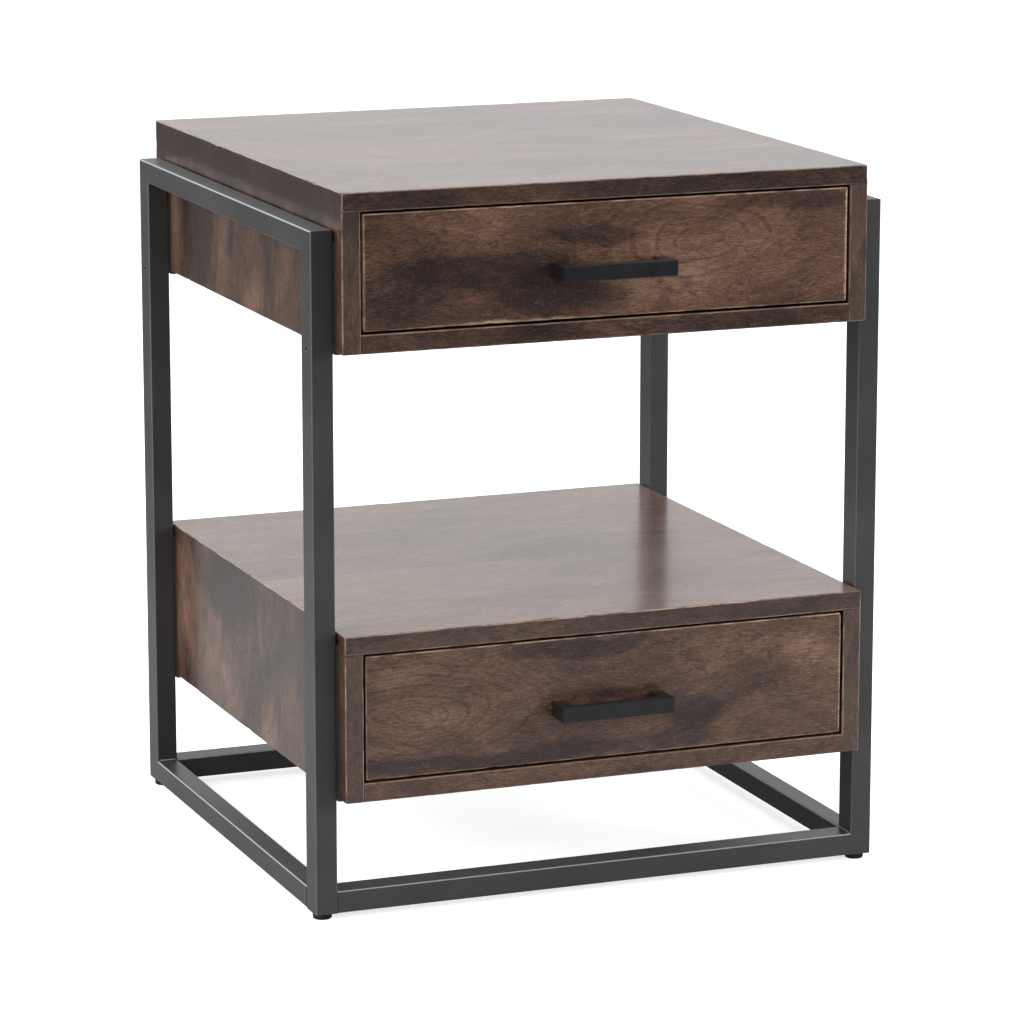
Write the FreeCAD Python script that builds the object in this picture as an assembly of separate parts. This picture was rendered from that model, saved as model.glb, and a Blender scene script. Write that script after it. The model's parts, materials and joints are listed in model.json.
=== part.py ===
import FreeCAD, Part
import os
from collections import namedtuple

"""Side table: two drawer cases hung between two rectangular-tube side frames.

Millimetres. +Z is up, the drawers open towards -Y, and +X is to the right of someone facing them.
The origin is on the floor, under the middle of the whole object's box.
"""

Vector = FreeCAD.Vector

# ---- driving dimensions -------------------------------------------------------------------------------

# Overall sizes
TOTAL_WIDTH = 508.0          # over the outer faces of the side frames
TOTAL_HEIGHT = 610.0         # floor to the upper case's top
UPPER_CASE_DEPTH = 506.0
CASE_RISE = 32.0             # the upper case's top over the top of the side frames
CASE_OVERHANG = 17.0         # of the upper case, ahead of the front legs and behind the rear ones

# Rectangular steel tube
LEG_X = 19.0
LEG_Y = 25.0
RAIL_Z = 19.0
TUBE_WALL = 1.5
TUBE_RADIUS = 1.5            # outer corner radius
TUBE_INNER_RADIUS = 0.5
VENT_RADIUS = 2.0            # drain hole for the coating bath, in each leg's outer wall
VENT_RISE = 2.0              # above the upper case's lower edge

# Levelling feet, screwed into inserts in the legs
FOOT_HEIGHT = 6.0            # the pad, when it is screwed right in
FOOT_RADIUS = 8.0
FOOT_EDGE = 1.2
STEM_RADIUS = 4.0
STEM_LENGTH = 24.0
STEM_FIT = 0.08              # radial clearance of the stem in its insert
INSERT_HEIGHT = 12.0
INSERT_FIT = 0.05            # insert inside the tube, each side

# Wooden cases
BOARD = 16.0                 # thickness of top, sides and bottom
ARRIS = 1.2                  # rounding of the boards' outer edges
BACK_PANEL = 10.0
BACK_INSET = 2.0             # back panel ahead of the boards' back edges
UPPER_CASE_HEIGHT = 132.0
LOWER_CASE_BOTTOM = 104.0    # above the floor
LOWER_CASE_HEIGHT = 141.0
LOWER_CASE_SETBACK = 20.0    # the lower case's back, ahead of the upper one's

# Brackets between legs and cases
BRACKET_SHEET = 2.0          # thickness, which is also the gap between leg and case
BRACKET_BEND = 2.0           # outer radius of the bend under the case's lower edge
BRACKET_REACH = 12.0         # the lip's reach under the case
BRACKET_SETBACK = 10.0       # top of the flange below the case's or the frame's top
LIP_SCREW_INSET = 6.0        # screw centre from the case's side face
LIP_SCREW_RADIUS = 1.75
LIP_SCREW_LENGTH = 18.0
LIP_HEAD_RADIUS = 3.6
LIP_HEAD_HEIGHT = 2.2
SCREW_FIT = 0.05             # radial clearance of every screw in its pilot hole
CLEARANCE_FIT = 0.4          # radial clearance of a screw in a hole that it only passes through

# Dowels in the case joints
DOWEL_RADIUS = 4.0
DOWEL_FIT = 0.05
DOWEL_LENGTH = 28.0
DOWEL_DEPTH = 9.0            # in the board that the dowel enters through its face
DOWEL_INSET = 70.0           # first and last dowel from the case's front and back
DOWELS = 3                   # in each joint

# Drawer slides
SLIDE_SPACE = 13.0           # between case side and drawer side
SLIDE_HEIGHT = 45.0
SLIDE_SHEET = 1.2
SLIDE_BEND = 0.6             # inner radius of the members' bends
SLIDE_RUN = 0.4              # running clearance between two members
SLIDE_WEB_GAP = 1.8          # a flange's tip short of the next member's web
SLIDE_START = 4.0            # slide's front end behind the drawer front
SLIDE_END = 16.0             # slide's back end short of the drawer's back
OUTER_CLEAR = 4.5            # outer member short of the drawer side
MIDDLE_STANDOFF = 3.5        # middle member's web from the case side
SLIDE_SCREWS = 3             # in each fixed member
SLIDE_SCREW_INSET = 35.0
SLIDE_SCREW_RADIUS = 1.75
SLIDE_SCREW_GRIP = 9.0       # length in the wood
SLIDE_HEAD_RADIUS = 3.5
SLIDE_HEAD_HEIGHT = 1.2

# Drawers
DRAWER_GAP = 2.0             # all round the drawer front
DRAWER_RECESS = 1.0          # drawer face behind the case's front edges
DRAWER_FRONT = 16.0
DRAWER_SIDE = 12.0
BOX_ARRIS = 1.5              # rounding of the box's upper edges
DRAWER_BACK_GAP = 37.0       # free space behind the drawer in the lower case
DRAWER_BELOW = 10.0          # box above the case's bottom board
DRAWER_ABOVE = 12.0          # box below the case's top board
PANEL = 5.0                  # drawer bottom
PANEL_FIT = 0.1              # groove over the panel
PANEL_GROOVE = 6.0           # groove's depth
PANEL_UP = 8.0               # groove above the box's lower edge

# Handles
HANDLE_LENGTH = 101.0
HANDLE_HEIGHT = 13.0
HANDLE_GRIP = 9.0            # front bar's thickness
HANDLE_LEG = 12.0            # width of each leg
HANDLE_REACH = 25.0          # out from the drawer face
HANDLE_DROP = 7.0            # below the middle of the drawer face
HANDLE_EDGE = 0.8
HANDLE_SCREW_RADIUS = 2.0
HANDLE_SCREW_GRIP = 10.0     # length in the handle
HANDLE_HEAD_RADIUS = 4.2
HANDLE_HEAD_HEIGHT = 2.6

# ---- places worked out from them ----------------------------------------------------------------------

TOTAL_DEPTH = UPPER_CASE_DEPTH + HANDLE_REACH - DRAWER_RECESS
CASE_FRONT = HANDLE_REACH - DRAWER_RECESS - TOTAL_DEPTH / 2
UPPER_BACK = CASE_FRONT + UPPER_CASE_DEPTH
LOWER_BACK = UPPER_BACK - LOWER_CASE_SETBACK
FRAME_FRONT = CASE_FRONT + CASE_OVERHANG
FRAME_BACK = UPPER_BACK - CASE_OVERHANG
FRAME_TOP = TOTAL_HEIGHT - CASE_RISE
FRAME_X = TOTAL_WIDTH / 2                    # outer face of a side frame
LEG_INNER_X = FRAME_X - LEG_X
CASE_X = LEG_INNER_X - BRACKET_SHEET        # outer face of a case side
BAY_X = CASE_X - BOARD                       # inner face of a case side
BOX_X = BAY_X - SLIDE_SPACE                  # outer face of a drawer side
DRAWER_FACE = CASE_FRONT + DRAWER_RECESS
BOX_FRONT = DRAWER_FACE + DRAWER_FRONT
BOX_BACK = LOWER_BACK - BACK_INSET - BACK_PANEL - DRAWER_BACK_GAP
SLIDE_FRONT = BOX_FRONT + SLIDE_START
SLIDE_BACK = BOX_BACK - SLIDE_END
MEMBER_WIDTH = SLIDE_SPACE - MIDDLE_STANDOFF - SLIDE_SHEET - SLIDE_WEB_GAP

Case = namedtuple("Case", "name bottom top back")
CASES = (
    Case("upper", TOTAL_HEIGHT - UPPER_CASE_HEIGHT, TOTAL_HEIGHT, UPPER_BACK),
    Case("lower", LOWER_CASE_BOTTOM, LOWER_CASE_BOTTOM + LOWER_CASE_HEIGHT, LOWER_BACK),
)
SIDES = (("left", -1), ("right", 1))
LEG_ENDS = (("front", FRAME_FRONT), ("rear", FRAME_BACK - LEG_Y))

# ---- helpers ------------------------------------------------------------------------------------------


def block(x, y, z):
    """Box between two values on each axis, given in either order."""
    low = Vector(min(x), min(y), min(z))
    return Part.makeBox(abs(x[1] - x[0]), abs(y[1] - y[0]), abs(z[1] - z[0]), low)


def edges_along(shape, axis):
    """Straight edges that run along one axis: 0 is X, 1 is Y and 2 is Z."""
    found = []
    for edge in shape.Edges:
        run = edge.Vertexes[-1].Point - edge.Vertexes[0].Point
        if abs(abs(run[axis]) - run.Length) < 1e-6 and run.Length > 1e-6:
            found.append(edge)
    return found


def edges_at(shape, axis, *place):
    """Straight edges along one axis that pass through a place, given by the other two coordinates."""
    others = [index for index in range(3) if index != axis]
    found = []
    for edge in edges_along(shape, axis):
        point = edge.Vertexes[0].Point
        if all(abs(point[index] - value) < 1e-6 for index, value in zip(others, place)):
            found.append(edge)
    return found


def rounded_block(x, y, z, radius, axis):
    """Box with its four edges along one axis rounded."""
    shape = block(x, y, z)
    return shape.makeFillet(radius, edges_along(shape, axis))


def soft_block(x, y, z, radius):
    """Box with all twelve edges rounded."""
    shape = block(x, y, z)
    return shape.makeFillet(radius, shape.Edges)


def rod(start, direction, length, radius):
    """Round bar from a point along a direction."""
    return Part.makeCylinder(radius, length, Vector(*start), Vector(*direction))


def tube(x, y, z, axis):
    """Rectangular tube, open at both ends, that fills a box and runs along one axis."""
    ranges = [sorted(x), sorted(y), sorted(z)]
    inner = []
    for index, (low, high) in enumerate(ranges):
        wall = 0.0 if index == axis else TUBE_WALL
        inner.append((low + wall, high - wall))
    outside = rounded_block(*ranges, TUBE_RADIUS, axis)
    return outside.cut(rounded_block(*inner, TUBE_INNER_RADIUS, axis))


def prism_across(points, x):
    """Prism of a Y-Z outline, from one X to another."""
    corners = [Vector(min(x), y, z) for y, z in points]
    face = Part.Face(Part.makePolygon(corners + corners[:1]))
    return face.extrude(Vector(abs(x[1] - x[0]), 0, 0))


def spread(first, last, count):
    """Evenly spaced values from first to last."""
    return [first + (last - first) * i / (count - 1) for i in range(count)]


def save(node, *shapes):
    """Write one node's STEP file, of one solid or of several separate ones."""
    shape = shapes[0] if len(shapes) == 1 else Part.makeCompound(list(shapes))
    shape.exportStep("parts/" + node + ".step")


# ---- steel frame --------------------------------------------------------------------------------------


def mitre_prisms(side, front):
    """The two halves of a frame corner's box, split along the mitre: the rail's half, then the leg's."""
    x = (side * FRAME_X, side * LEG_INNER_X)
    outer = FRAME_FRONT if front else FRAME_BACK
    inner = outer + LEG_Y if front else outer - LEG_Y
    tip = (outer, FRAME_TOP)
    heel = (inner, FRAME_TOP - RAIL_Z)
    return (prism_across([tip, (inner, FRAME_TOP), heel], x),
            prism_across([tip, (outer, FRAME_TOP - RAIL_Z), heel], x))


def leg(side, end_y, front):
    """Upright tube, mitred at its top, with a small drain hole in its outer wall."""
    x = (side * FRAME_X, side * LEG_INNER_X)
    upright = tube(x, (end_y, end_y + LEG_Y), (FOOT_HEIGHT, FRAME_TOP), 2)
    vent_z = CASES[0].bottom + VENT_RISE
    vent = rod((side * (FRAME_X - 2 * TUBE_WALL), end_y + LEG_Y / 2, vent_z), (side, 0, 0),
               3 * TUBE_WALL, VENT_RADIUS)
    return upright.cut(mitre_prisms(side, front)[0]).cut(vent)


def top_rail(side):
    """Upper side rail, mitred to both legs."""
    x = (side * FRAME_X, side * LEG_INNER_X)
    rail = tube(x, (FRAME_FRONT, FRAME_BACK), (FRAME_TOP - RAIL_Z, FRAME_TOP), 1)
    for front in (True, False):
        rail = rail.cut(mitre_prisms(side, front)[1])
    return rail


def bottom_rail(side):
    """Lower side rail, butted between the legs."""
    x = (side * FRAME_X, side * LEG_INNER_X)
    return tube(x, (FRAME_FRONT + LEG_Y, FRAME_BACK - LEG_Y), (FOOT_HEIGHT, FOOT_HEIGHT + RAIL_Z), 1)


def base_rail(end_y):
    """Cross rail on the floor side, butted between the left and the right leg."""
    return tube((-LEG_INNER_X, LEG_INNER_X), (end_y, end_y + LEG_Y),
                (FOOT_HEIGHT, FOOT_HEIGHT + RAIL_Z), 0)


def leg_centre(side, end_y):
    """Where a leg's axis crosses the floor."""
    return side * (FRAME_X - LEG_X / 2), end_y + LEG_Y / 2


def leg_insert(side, end_y):
    """Threaded plug in the leg's open bottom end."""
    x, y = leg_centre(side, end_y)
    half_x = LEG_X / 2 - TUBE_WALL - INSERT_FIT
    half_y = LEG_Y / 2 - TUBE_WALL - INSERT_FIT
    plug = rounded_block((x - half_x, x + half_x), (y - half_y, y + half_y),
                         (FOOT_HEIGHT, FOOT_HEIGHT + INSERT_HEIGHT), TUBE_INNER_RADIUS, 2)
    return plug.cut(rod((x, y, 0), (0, 0, 1), 2 * FOOT_HEIGHT + INSERT_HEIGHT, STEM_RADIUS + STEM_FIT))


def foot(side, end_y):
    """Round pad and stem, screwed right in, so that the pad meets the leg's end."""
    x, y = leg_centre(side, end_y)
    pad = rod((x, y, 0), (0, 0, 1), FOOT_HEIGHT, FOOT_RADIUS)
    rims = [edge for edge in pad.Edges if edge.BoundBox.ZLength < 1e-6]
    pad = pad.makeFillet(FOOT_EDGE, rims)
    stem = rod((x, y, FOOT_HEIGHT / 2), (0, 0, 1), FOOT_HEIGHT / 2 + STEM_LENGTH, STEM_RADIUS)
    return pad.fuse(stem).removeSplitter()


def build_frame():
    """Legs, rails, inserts and feet."""
    inserts = []
    for name, side in SIDES:
        save(name + "_top_rail", top_rail(side))
        save(name + "_bottom_rail", bottom_rail(side))
        for end, end_y in LEG_ENDS:
            save(name + "_" + end + "_leg", leg(side, end_y, end == "front"))
            save("foot_" + end + "_" + name, foot(side, end_y))
            inserts.append(leg_insert(side, end_y))
    for end, end_y in LEG_ENDS:
        save(end + "_base_rail", base_rail(end_y))
    save("leg_end_inserts", *inserts)


# ---- brackets -----------------------------------------------------------------------------------------


def lip_screw_place(side, end_y):
    """Where a bracket's screw stands: under the case's side board, in line with the leg."""
    return side * (CASE_X - LIP_SCREW_INSET), end_y + LEG_Y / 2


def bracket(case, side, end_y):
    """L bracket: a flange up between leg and case, and a lip under the case with a screw hole."""
    y = (end_y, end_y + LEG_Y)
    low = case.bottom - BRACKET_SHEET
    high = min(case.top, FRAME_TOP) - BRACKET_SETBACK
    flange = block((side * CASE_X, side * LEG_INNER_X), y, (low, high))
    lip = block((side * (CASE_X - BRACKET_REACH), side * CASE_X), y, (low, case.bottom))
    sheet = flange.fuse(lip).removeSplitter()
    sheet = sheet.makeFillet(BRACKET_BEND * (1 - 1e-3), edges_at(sheet, 1, side * LEG_INNER_X, low))
    screw_x, screw_y = lip_screw_place(side, end_y)
    hole = rod((screw_x, screw_y, low - BRACKET_SHEET), (0, 0, 1), 3 * BRACKET_SHEET,
               LIP_SCREW_RADIUS + CLEARANCE_FIT)
    return sheet.cut(hole)


def lip_screw(case, side, end_y):
    """Pan-head screw, driven up through the bracket's lip into the side board."""
    x, y = lip_screw_place(side, end_y)
    seat = case.bottom - BRACKET_SHEET
    head = rod((x, y, seat - LIP_HEAD_HEIGHT), (0, 0, 1), LIP_HEAD_HEIGHT, LIP_HEAD_RADIUS)
    shank = rod((x, y, seat - LIP_HEAD_HEIGHT / 2), (0, 0, 1),
                LIP_HEAD_HEIGHT / 2 + LIP_SCREW_LENGTH, LIP_SCREW_RADIUS)
    return head.fuse(shank).removeSplitter()


def lip_screw_pilot(case, side, end_y):
    """The hole that a bracket's screw fills in the side board."""
    x, y = lip_screw_place(side, end_y)
    return rod((x, y, case.bottom - BRACKET_SHEET), (0, 0, 1), LIP_SCREW_LENGTH + 1,
               LIP_SCREW_RADIUS + SCREW_FIT)


def build_brackets():
    """Four brackets for each case, and all their screws."""
    screws = []
    for case in CASES:
        places = [(case, side, end_y) for _, side in SIDES for _, end_y in LEG_ENDS]
        save(case.name + "_case_brackets", *[bracket(*place) for place in places])
        screws += [lip_screw(*place) for place in places]
    save("bracket_screws", *screws)


# ---- cases --------------------------------------------------------------------------------------------


def dowel_lines(case):
    """Front-to-back places of the dowels in one joint."""
    return spread(CASE_FRONT + DOWEL_INSET, case.back - DOWEL_INSET, DOWELS)


def top_dowel(case, side, y, fit=0.0):
    """Upright dowel from the side board into the top board, or its hole when a fit is given."""
    high = case.top - BOARD + DOWEL_DEPTH + fit
    return rod((side * (CASE_X - BOARD / 2), y, high), (0, 0, -1), DOWEL_LENGTH + 2 * fit,
               DOWEL_RADIUS + fit)


def bottom_dowel(case, side, y, fit=0.0):
    """Level dowel from the side board into the bottom board's end, or its hole."""
    start = side * (BAY_X + DOWEL_DEPTH + fit)
    return rod((start, y, case.bottom + BOARD / 2), (-side, 0, 0), DOWEL_LENGTH + 2 * fit,
               DOWEL_RADIUS + fit)


def top_board(case):
    """Full-width top, which covers the side boards."""
    board = soft_block((-CASE_X, CASE_X), (CASE_FRONT, case.back), (case.top - BOARD, case.top), ARRIS)
    for _, side in SIDES:
        for y in dowel_lines(case):
            board = board.cut(top_dowel(case, side, y, DOWEL_FIT))
    return board


def side_board(case, side):
    """Side, from the top board down to the case's lower edge."""
    board = rounded_block((side * BAY_X, side * CASE_X), (CASE_FRONT, case.back),
                          (case.bottom, case.top - BOARD), ARRIS, 2)
    for y in dowel_lines(case):
        board = board.cut(top_dowel(case, side, y, DOWEL_FIT))
        board = board.cut(bottom_dowel(case, side, y, DOWEL_FIT))
    for _, end_y in LEG_ENDS:
        board = board.cut(lip_screw_pilot(case, side, end_y))
    for y in slide_screw_lines():
        board = board.cut(slide_screw_hole(BAY_X, 1, side, y, slide_height(case)))
    return board


def bottom_board(case):
    """Bottom, between the side boards."""
    board = rounded_block((-BAY_X, BAY_X), (CASE_FRONT, case.back), (case.bottom, case.bottom + BOARD),
                          ARRIS, 0)
    for _, side in SIDES:
        for y in dowel_lines(case):
            board = board.cut(bottom_dowel(case, side, y, DOWEL_FIT))
    return board


def back_panel(case):
    """Back, let in between the four boards."""
    outside = case.back - BACK_INSET
    return block((-BAY_X, BAY_X), (outside - BACK_PANEL, outside), (case.bottom + BOARD, case.top - BOARD))


def build_cases():
    """The boards of both cases, and their dowels."""
    dowels = []
    for case in CASES:
        save(case.name + "_top_board", top_board(case))
        save(case.name + "_bottom_board", bottom_board(case))
        save(case.name + "_back_panel", back_panel(case))
        for name, side in SIDES:
            save(case.name + "_" + name + "_side", side_board(case, side))
            for y in dowel_lines(case):
                dowels += [top_dowel(case, side, y), bottom_dowel(case, side, y)]
    save("case_dowels", *dowels)


# ---- drawer slides ------------------------------------------------------------------------------------


def slide_height(case):
    """Height of a slide's centre line: half way up the drawer's side."""
    low, high = box_heights(case)
    return (low + high) / 2


def slide_screw_lines():
    """Front-to-back places of the screws in a fixed slide member."""
    return spread(SLIDE_FRONT + SLIDE_SCREW_INSET, SLIDE_BACK - SLIDE_SCREW_INSET, SLIDE_SCREWS)


def slide_screw_hole(face_x, into, side, y, z, fit=SCREW_FIT, length=SLIDE_SCREW_GRIP + 1):
    """Hole into a wooden face: into is 1 away from the table's middle and -1 towards it."""
    start = side * (face_x - into * SLIDE_SHEET)
    return rod((start, y, z), (side * into, 0, 0), SLIDE_SHEET + length, SLIDE_SCREW_RADIUS + fit)


def channel(side, web_x, open_to, width, height, z):
    """C section along Y: a web at web_x, and flanges towards open_to (1 outwards, -1 inwards)."""
    y = (SLIDE_FRONT, SLIDE_BACK)
    low, high = z - height / 2, z + height / 2
    outside = block((side * web_x, side * (web_x + open_to * width)), y, (low, high))
    bends = edges_at(outside, 1, side * web_x, low) + edges_at(outside, 1, side * web_x, high)
    outside = outside.makeFillet(SLIDE_BEND + SLIDE_SHEET, bends)
    inner_web = side * (web_x + open_to * SLIDE_SHEET)
    low, high = low + SLIDE_SHEET, high - SLIDE_SHEET
    hollow = block((inner_web, side * (web_x + open_to * (width + 1))), y, (low, high))
    bends = edges_at(hollow, 1, inner_web, low) + edges_at(hollow, 1, inner_web, high)
    return outside.cut(hollow.makeFillet(SLIDE_BEND, bends))


def outer_member(case, side):
    """Slide member on the case side."""
    z = slide_height(case)
    member = channel(side, BAY_X, -1, SLIDE_SPACE - OUTER_CLEAR, SLIDE_HEIGHT, z)
    for y in slide_screw_lines():
        member = member.cut(slide_screw_hole(BAY_X, 1, side, y, z, CLEARANCE_FIT))
    return member


def middle_member(case, side):
    """Slide member that runs in the outer one and carries the inner one."""
    height = SLIDE_HEIGHT - 2 * SLIDE_SHEET - 2 * SLIDE_RUN
    return channel(side, BAY_X - MIDDLE_STANDOFF, -1, MEMBER_WIDTH, height, slide_height(case))


def inner_member(case, side):
    """Slide member on the drawer side."""
    z = slide_height(case)
    height = SLIDE_HEIGHT - 4 * SLIDE_SHEET - 4 * SLIDE_RUN
    member = channel(side, BOX_X, 1, MEMBER_WIDTH, height, z)
    for y in slide_screw_lines():
        member = member.cut(slide_screw_hole(BOX_X, -1, side, y, z, CLEARANCE_FIT))
    return member


def slide_screw(face_x, into, side, y, z):
    """Low-head screw through a slide's web into the wood."""
    web = face_x - into * SLIDE_SHEET
    head = rod((side * (web - into * SLIDE_HEAD_HEIGHT), y, z), (side * into, 0, 0), SLIDE_HEAD_HEIGHT,
               SLIDE_HEAD_RADIUS)
    shank = rod((side * (web - into * SLIDE_HEAD_HEIGHT / 2), y, z), (side * into, 0, 0),
                SLIDE_HEAD_HEIGHT / 2 + SLIDE_SHEET + SLIDE_SCREW_GRIP, SLIDE_SCREW_RADIUS)
    return head.fuse(shank).removeSplitter()


def build_slides():
    """Both pairs of slides, and their screws."""
    case_screws = []
    for case in CASES:
        z = slide_height(case)
        box_screws = []
        for name, side in SIDES:
            stem = case.name + "_" + name + "_slide_"
            save(stem + "outer", outer_member(case, side))
            save(stem + "middle", middle_member(case, side))
            save(stem + "inner", inner_member(case, side))
            for y in slide_screw_lines():
                case_screws.append(slide_screw(BAY_X, 1, side, y, z))
                box_screws.append(slide_screw(BOX_X, -1, side, y, z))
        save(case.name + "_drawer_slide_screws", *box_screws)
    save("case_slide_screws", *case_screws)


# ---- drawers ------------------------------------------------------------------------------------------


def box_heights(case):
    """Lower and upper edge of the drawer box."""
    return case.bottom + BOARD + DRAWER_BELOW, case.top - BOARD - DRAWER_ABOVE


def handle_height(case):
    """Height of the handle's centre line."""
    return (case.bottom + case.top) / 2 - HANDLE_DROP


def panel_groove(case):
    """The space that a drawer's bottom panel takes in the front, the sides and the back."""
    reach = BOX_X - DRAWER_SIDE + PANEL_GROOVE
    low = box_heights(case)[0] + PANEL_UP
    return block((-reach, reach), (BOX_FRONT - PANEL_GROOVE, BOX_BACK - DRAWER_SIDE + PANEL_GROOVE),
                 (low, low + PANEL + PANEL_FIT))


def drawer_bottom(case):
    """Thin panel, in grooves all round."""
    reach = BOX_X - DRAWER_SIDE + PANEL_GROOVE
    low = box_heights(case)[0] + PANEL_UP
    return block((-reach, reach), (BOX_FRONT - PANEL_GROOVE, BOX_BACK - DRAWER_SIDE + PANEL_GROOVE),
                 (low, low + PANEL))


def handle_screw_places():
    """Left-to-right places of the handle's two legs."""
    reach = (HANDLE_LENGTH - HANDLE_LEG) / 2
    return (-reach, reach)


def drawer_front(case):
    """Inset front board, with the panel's groove and the handle's screw holes."""
    board = soft_block((-BAY_X + DRAWER_GAP, BAY_X - DRAWER_GAP), (DRAWER_FACE, BOX_FRONT),
                       (case.bottom + BOARD + DRAWER_GAP, case.top - BOARD - DRAWER_GAP), ARRIS)
    board = board.cut(panel_groove(case))
    for x in handle_screw_places():
        board = board.cut(rod((x, DRAWER_FACE - 1, handle_height(case)), (0, 1, 0), DRAWER_FRONT + 2,
                              HANDLE_SCREW_RADIUS + CLEARANCE_FIT))
    return board


def drawer_side(case, side):
    """Side of the drawer box, with the panel's groove and the slide's screw holes."""
    inner_x, outer_x = side * (BOX_X - DRAWER_SIDE), side * BOX_X
    low, high = box_heights(case)
    board = block((inner_x, outer_x), (BOX_FRONT, BOX_BACK), (low, high))
    upper = edges_at(board, 1, inner_x, high) + edges_at(board, 1, outer_x, high)
    board = board.makeFillet(BOX_ARRIS, upper).cut(panel_groove(case))
    for y in slide_screw_lines():
        board = board.cut(slide_screw_hole(BOX_X, -1, side, y, slide_height(case)))
    return board


def drawer_back(case):
    """Back of the drawer box, between its sides."""
    reach = BOX_X - DRAWER_SIDE
    inner_y = BOX_BACK - DRAWER_SIDE
    low, high = box_heights(case)
    board = block((-reach, reach), (inner_y, BOX_BACK), (low, high))
    upper = edges_at(board, 0, inner_y, high) + edges_at(board, 0, BOX_BACK, high)
    return board.makeFillet(BOX_ARRIS, upper).cut(panel_groove(case))


def handle(case):
    """U handle of flat bar, with a threaded hole in each leg."""
    z = handle_height(case)
    heights = (z - HANDLE_HEIGHT / 2, z + HANDLE_HEIGHT / 2)
    end = HANDLE_LENGTH / 2
    front = DRAWER_FACE - HANDLE_REACH
    shape = block((-end, end), (front, DRAWER_FACE), heights)
    finger_gap = block((HANDLE_LEG - end, end - HANDLE_LEG), (front + HANDLE_GRIP, DRAWER_FACE), heights)
    shape = shape.cut(finger_gap)
    outer = [edge for edge in shape.Edges if edge.BoundBox.YMin < DRAWER_FACE - 1e-3]
    shape = shape.makeFillet(HANDLE_EDGE, outer)
    for x in handle_screw_places():
        shape = shape.cut(rod((x, DRAWER_FACE, z), (0, -1, 0), HANDLE_SCREW_GRIP + 1,
                              HANDLE_SCREW_RADIUS + SCREW_FIT))
    return shape


def handle_screw(case, x):
    """Pan-head screw from inside the drawer, through its front, into a handle's leg."""
    z = handle_height(case)
    head = rod((x, BOX_FRONT, z), (0, 1, 0), HANDLE_HEAD_HEIGHT, HANDLE_HEAD_RADIUS)
    shank = rod((x, BOX_FRONT + HANDLE_HEAD_HEIGHT / 2, z), (0, -1, 0),
                HANDLE_HEAD_HEIGHT / 2 + DRAWER_FRONT + HANDLE_SCREW_GRIP, HANDLE_SCREW_RADIUS)
    return head.fuse(shank).removeSplitter()


def build_drawers():
    """Both drawers with their handles."""
    for case in CASES:
        stem = case.name + "_drawer_"
        save(stem + "front", drawer_front(case))
        save(stem + "back", drawer_back(case))
        save(stem + "bottom", drawer_bottom(case))
        for name, side in SIDES:
            save(stem + name + "_side", drawer_side(case, side))
        save(case.name + "_handle", handle(case))
        save(case.name + "_handle_screws", *[handle_screw(case, x) for x in handle_screw_places()])


os.makedirs("parts", exist_ok=True)
build_frame()
build_brackets()
build_cases()
build_slides()
build_drawers()
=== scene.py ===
import json
import math

import bpy
import numpy as np
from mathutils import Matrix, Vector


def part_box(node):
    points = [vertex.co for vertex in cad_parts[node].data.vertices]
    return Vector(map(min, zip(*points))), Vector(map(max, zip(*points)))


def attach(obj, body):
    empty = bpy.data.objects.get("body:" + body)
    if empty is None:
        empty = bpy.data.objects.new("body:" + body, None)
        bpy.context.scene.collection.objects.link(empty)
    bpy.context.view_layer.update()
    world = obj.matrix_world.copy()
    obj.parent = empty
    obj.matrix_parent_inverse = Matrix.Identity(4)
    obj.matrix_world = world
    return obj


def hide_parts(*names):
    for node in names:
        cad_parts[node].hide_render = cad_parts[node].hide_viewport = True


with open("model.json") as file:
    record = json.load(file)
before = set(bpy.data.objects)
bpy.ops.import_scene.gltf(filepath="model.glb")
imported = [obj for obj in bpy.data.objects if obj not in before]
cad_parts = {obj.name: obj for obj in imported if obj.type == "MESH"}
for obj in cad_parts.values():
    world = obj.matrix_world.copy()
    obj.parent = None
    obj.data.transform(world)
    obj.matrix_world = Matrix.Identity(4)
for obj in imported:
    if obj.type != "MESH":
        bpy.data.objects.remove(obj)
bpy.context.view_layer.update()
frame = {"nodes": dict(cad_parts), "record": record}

NODES = frame["nodes"]
BODIES = frame["record"]["behaviour"]["bodies"]
BODY_OF = {node: body for body, members in BODIES.items() for node in members}
MM = 0.001

# ---------------------------------------------------------------- camera, light and floor

CAMERA_PLACE = (-1.4073, -3.6057, 1.1127)
CAMERA_TURN = 21.43     # degrees to the right of straight on
CAMERA_TILT = 12.09     # degrees below level
CAMERA_LENS = 158.04
SENSOR = 36.0


def set_camera():
    """A long lens a little left of the front and a little above the top."""
    camera = bpy.data.objects.new("studio_camera", bpy.data.cameras.new("studio_camera"))
    camera.data.sensor_width = SENSOR
    camera.data.lens = CAMERA_LENS
    camera.data.clip_end = 60.0
    camera.location = CAMERA_PLACE
    camera.rotation_euler = (math.radians(90 - CAMERA_TILT), 0.0, math.radians(-CAMERA_TURN))
    bpy.context.scene.collection.objects.link(camera)
    bpy.context.scene.camera = camera


def soft_box(name, place, aim, size, power, colour=(1.0, 1.0, 1.0)):
    """A rectangular studio light at place, turned to face aim."""
    lamp = bpy.data.lights.new(name, "AREA")
    lamp.shape = "RECTANGLE"
    lamp.size, lamp.size_y = size
    lamp.energy = power
    lamp.color = colour
    holder = bpy.data.objects.new(name, lamp)
    away = np.subtract(place, aim)
    across = math.hypot(away[0], away[1])
    holder.rotation_euler = (math.atan2(across, away[2]), 0.0, math.atan2(away[0], -away[1]))
    holder.location = place
    holder.visible_camera = False
    holder.visible_glossy = False       # so that no lamp is mirrored in the lacquer; the surround is
    bpy.context.scene.collection.objects.link(holder)


# ---------------------------------------------------------------- finishes

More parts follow.
